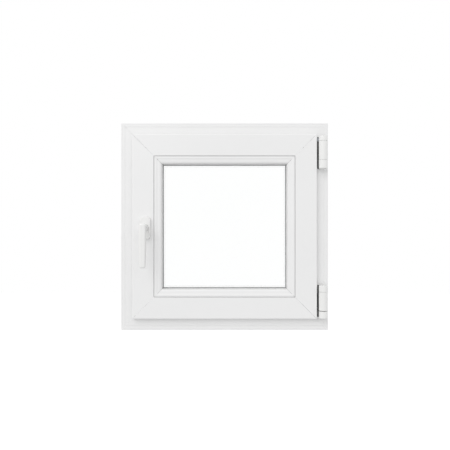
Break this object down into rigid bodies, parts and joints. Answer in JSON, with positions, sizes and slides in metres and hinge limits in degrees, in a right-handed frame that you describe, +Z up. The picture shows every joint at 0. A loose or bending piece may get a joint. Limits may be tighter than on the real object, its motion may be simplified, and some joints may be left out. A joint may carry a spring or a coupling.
{
  "type": "casement window",
  "caption": "White uPVC tilt-and-turn casement window with a double-glazed sash, a lever handle and two capped surface hinges.",
  "frame": {"origin": "middle of the outer frame's flat underside, halfway through the frame's depth", "axes": "+Z up the window, +Y towards the open air, +X towards the hinges; the room and the handle's lever lie towards -Y"},
  "size_m": [0.6, 0.1513, 0.6],
  "materials": {
    "upvc": "smooth satin-gloss white uPVC",
    "white_coated_metal": "smooth white powder coat",
    "zinc_hardware": "dull silver zinc plating",
    "galvanised_steel": "galvanised sheet",
    "plain_steel": "fine turned steel",
    "seal_rubber": "matt grey sealing rubber",
    "spacer_aluminium": "satin aluminium",
    "packer_plastic": "matt coloured plastic",
    "clear_glass": "clear float glass"
  },
  "bodies": {
    "frame": {"frame_sill": "upvc", "frame_handle_jamb": "upvc", "frame_head": "upvc", "frame_hinge_jamb": "upvc", "frame_sill_steel": "galvanised_steel", "frame_handle_jamb_steel": "galvanised_steel", "frame_head_steel": "galvanised_steel", "frame_hinge_jamb_steel": "galvanised_steel", "frame_gasket": "seal_rubber", "drain_cover_left": "upvc", "drain_cover_right": "upvc", "keep_handle_side_upper": "zinc_hardware", "keep_handle_side_lower": "zinc_hardware", "keep_top": "zinc_hardware", "keep_bottom_tilt": "zinc_hardware", "bottom_hinge_bearing": "white_coated_metal", "top_hinge_bearing": "white_coated_metal", "top_hinge_pin": "plain_steel", "top_hinge_cap": "white_coated_metal"},
    "turn_carrier": {"bottom_hinge_swivel": "zinc_hardware"},
    "sash": {"sash_bottom_rail": "upvc", "sash_handle_stile": "upvc", "sash_top_rail": "upvc", "sash_hinge_stile": "upvc", "sash_bottom_rail_steel": "galvanised_steel", "sash_handle_stile_steel": "galvanised_steel", "sash_top_rail_steel": "galvanised_steel", "sash_hinge_stile_steel": "galvanised_steel", "sash_gasket": "seal_rubber", "glazing_bead_bottom": "upvc", "glazing_bead_handle": "upvc", "glazing_bead_top": "upvc", "glazing_bead_hinge": "upvc", "glazing_gasket_room": "seal_rubber", "glazing_gasket_outer": "seal_rubber", "glass_pane_room": "clear_glass", "glass_pane_outer": "clear_glass", "glass_spacer": "spacer_aluminium", "glazing_packer_bottom_left": "packer_plastic", "glazing_packer_bottom_right": "packer_plastic", "glazing_packer_handle_side": "packer_plastic", "glazing_packer_hinge_side": "packer_plastic", "faceplate_handle_side": "zinc_hardware", "faceplate_top": "zinc_hardware", "faceplate_bottom": "zinc_hardware", "gearbox_case": "zinc_hardware", "stay_arm_guide": "zinc_hardware", "handle_base": "zinc_hardware", "handle_cover": "white_coated_metal", "handle_screw_upper": "plain_steel", "handle_screw_lower": "plain_steel", "bottom_hinge_band": "white_coated_metal", "bottom_hinge_cap": "white_coated_metal"},
    "stay_arm": {"stay_arm": "zinc_hardware"},
    "handle": {"handle_lever": "white_coated_metal", "handle_spindle": "plain_steel", "gearbox_pinion": "plain_steel"},
    "side_rod": {"drive_rod_handle_side": "zinc_hardware"},
    "top_rod": {"drive_rod_top": "zinc_hardware"},
    "bottom_rod": {"drive_rod_bottom": "zinc_hardware"}
  },
  "joints": [
    {"name": "sash_turn", "type": "hinge", "parent": "frame", "child": "turn_carrier", "pos_m": [0.282, -0.055, 0.049], "axis": [0, 0, 1], "range_deg": [0, 105]},
    {"name": "sash_tilt", "type": "hinge", "parent": "turn_carrier", "child": "sash", "pos_m": [0.282, -0.055, 0.044], "axis": [1, 0, 0], "range_deg": [0, 8]},
    {"name": "stay_arm_swing", "type": "hinge", "parent": "turn_carrier", "child": "stay_arm", "pos_m": [0.282, -0.055, 0.549], "axis": [0, 0, 1], "range_deg": [0, 17]},
    {"name": "handle_turn", "type": "hinge", "parent": "sash", "child": "handle", "pos_m": [-0.22594, -0.098, 0.296], "axis": [0, -1, 0], "range_deg": [0, 180]},
    {"name": "side_rod_slide", "type": "slide", "parent": "sash", "child": "side_rod", "axis": [0, 0, -1], "range_m": [0, 0.0361]},
    {"name": "top_rod_slide", "type": "slide", "parent": "sash", "child": "top_rod", "axis": [-1, 0, 0], "range_m": [0, 0.0361]},
    {"name": "bottom_rod_slide", "type": "slide", "parent": "sash", "child": "bottom_rod", "axis": [1, 0, 0], "range_m": [0, 0.0361]}
  ],
  "couplings": [
    {"joint": "stay_arm_swing", "follows": "sash_tilt", "ratio": 2.104},
    {"joint": "side_rod_slide", "follows": "handle_turn", "m_per_rad": 0.01146},
    {"joint": "top_rod_slide", "follows": "handle_turn", "m_per_rad": 0.01146},
    {"joint": "bottom_rod_slide", "follows": "handle_turn", "m_per_rad": 0.01146}
  ]
}
